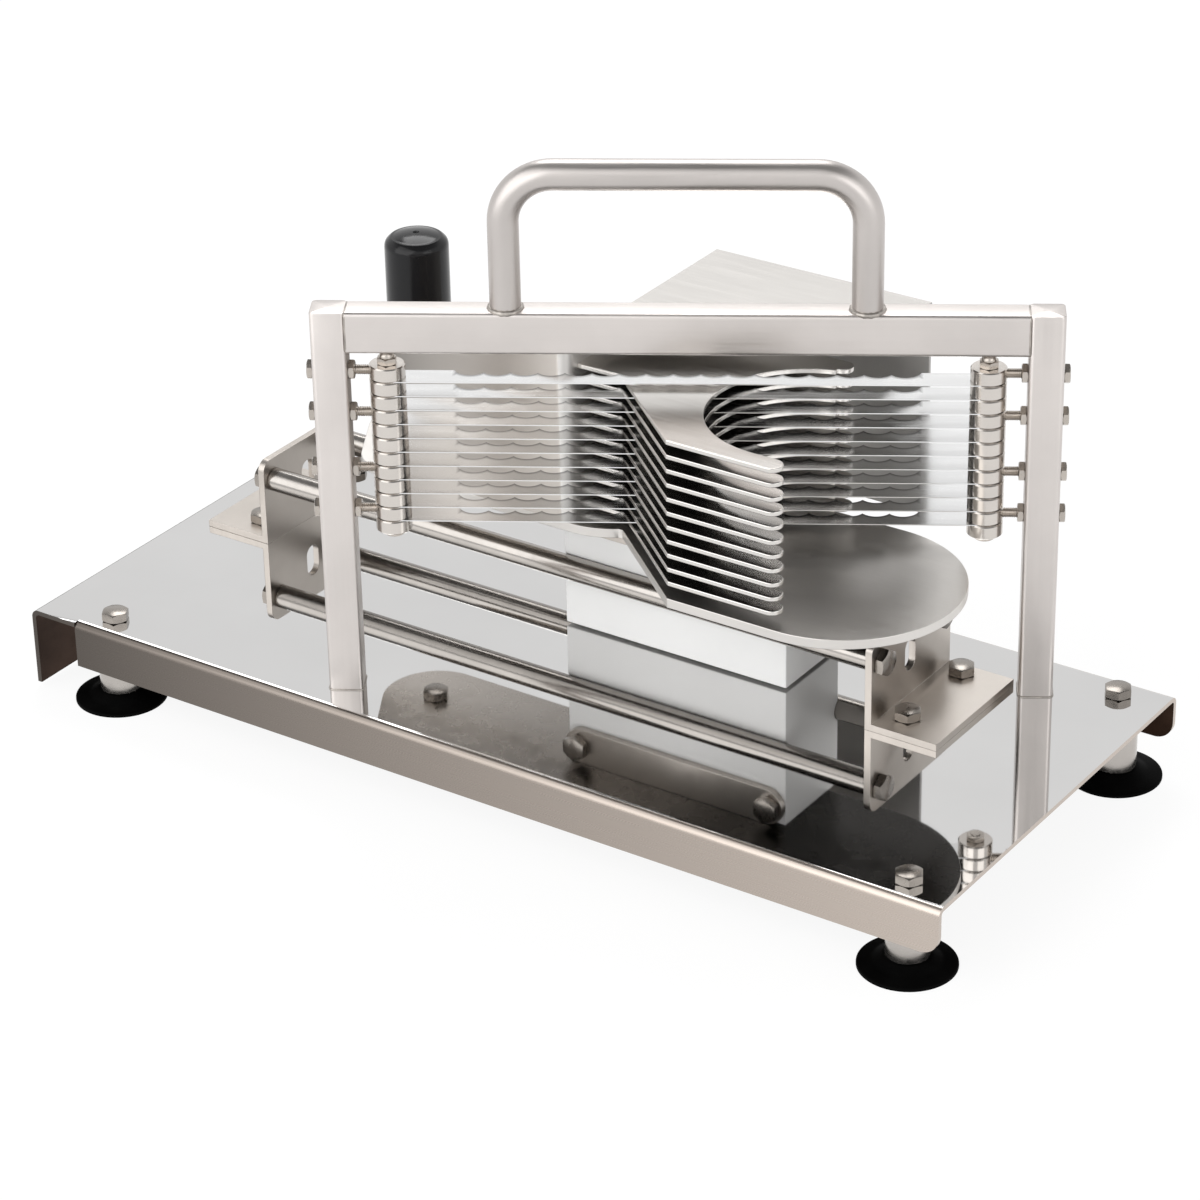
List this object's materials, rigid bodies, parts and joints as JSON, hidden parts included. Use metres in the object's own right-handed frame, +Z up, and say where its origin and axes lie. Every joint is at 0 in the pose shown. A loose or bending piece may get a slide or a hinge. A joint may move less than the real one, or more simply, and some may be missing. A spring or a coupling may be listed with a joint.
{
  "type": "tomato slicer",
  "caption": "Hand-pushed tomato slicer: a carriage with finned pusher, hand guard and grip slides on two rods through a slanted frame of wavy blades, on a polished base with suction feet.",
  "frame": {"origin": "on the table, under the middle of the base plate", "axes": "+X along the rods, the way the carriage is pushed to slice; +Y to the back, the guard's closed side; +Z up"},
  "size_m": [0.43, 0.2, 0.259],
  "materials": {
    "polished_steel": "mirror polished sheet",
    "satin_steel": "satin, welded",
    "sheet_steel": "fine brushed sheet",
    "blade_steel": "bright ground strip",
    "turned_steel": "turned",
    "fastener_steel": "bright",
    "white_plastic": "smooth, slightly glossy",
    "black_plastic": "glossy",
    "black_rubber": "smooth"
  },
  "bodies": {
    "base": {"base_plate": "polished_steel", "foot_cups": "black_rubber", "foot_spacers": "turned_steel", "foot_bolts": "fastener_steel", "bracket_left": "satin_steel", "bracket_right": "satin_steel", "bracket_bolts": "fastener_steel", "bracket_nuts": "fastener_steel", "rod_front": "turned_steel", "rod_rear": "turned_steel", "rod_screws": "fastener_steel", "frame_post_left": "satin_steel", "frame_post_right": "satin_steel", "frame_rail": "satin_steel", "carry_handle": "satin_steel", "blade_spacers_left": "turned_steel", "blade_spacers_right": "turned_steel", "stack_pins": "fastener_steel", "stack_cap_nuts": "fastener_steel", "stack_nuts": "fastener_steel", "tension_screws": "fastener_steel", "tension_nuts": "fastener_steel", "blade_1": "blade_steel", "blade_2": "blade_steel", "blade_3": "blade_steel", "blade_4": "blade_steel", "blade_5": "blade_steel", "blade_6": "blade_steel", "blade_7": "blade_steel", "blade_8": "blade_steel", "blade_9": "blade_steel", "blade_10": "blade_steel", "blade_11": "blade_steel"},
    "carriage": {"slider_block": "white_plastic", "tray_strap": "satin_steel", "strap_bolts": "fastener_steel", "tray": "polished_steel", "hand_guard": "sheet_steel", "grip": "black_plastic", "grip_bolt": "fastener_steel", "fin_1": "sheet_steel", "fin_2": "sheet_steel", "fin_3": "sheet_steel", "fin_4": "sheet_steel", "fin_5": "sheet_steel", "fin_6": "sheet_steel", "fin_7": "sheet_steel", "fin_8": "sheet_steel", "fin_9": "sheet_steel", "fin_10": "sheet_steel", "fin_11": "sheet_steel"}
  },
  "joints": [
    {"name": "carriage_slide", "type": "slide", "parent": "base", "child": "carriage", "axis": [1, 0, 0], "range_m": [-0.145, 0.005]}
  ]
}
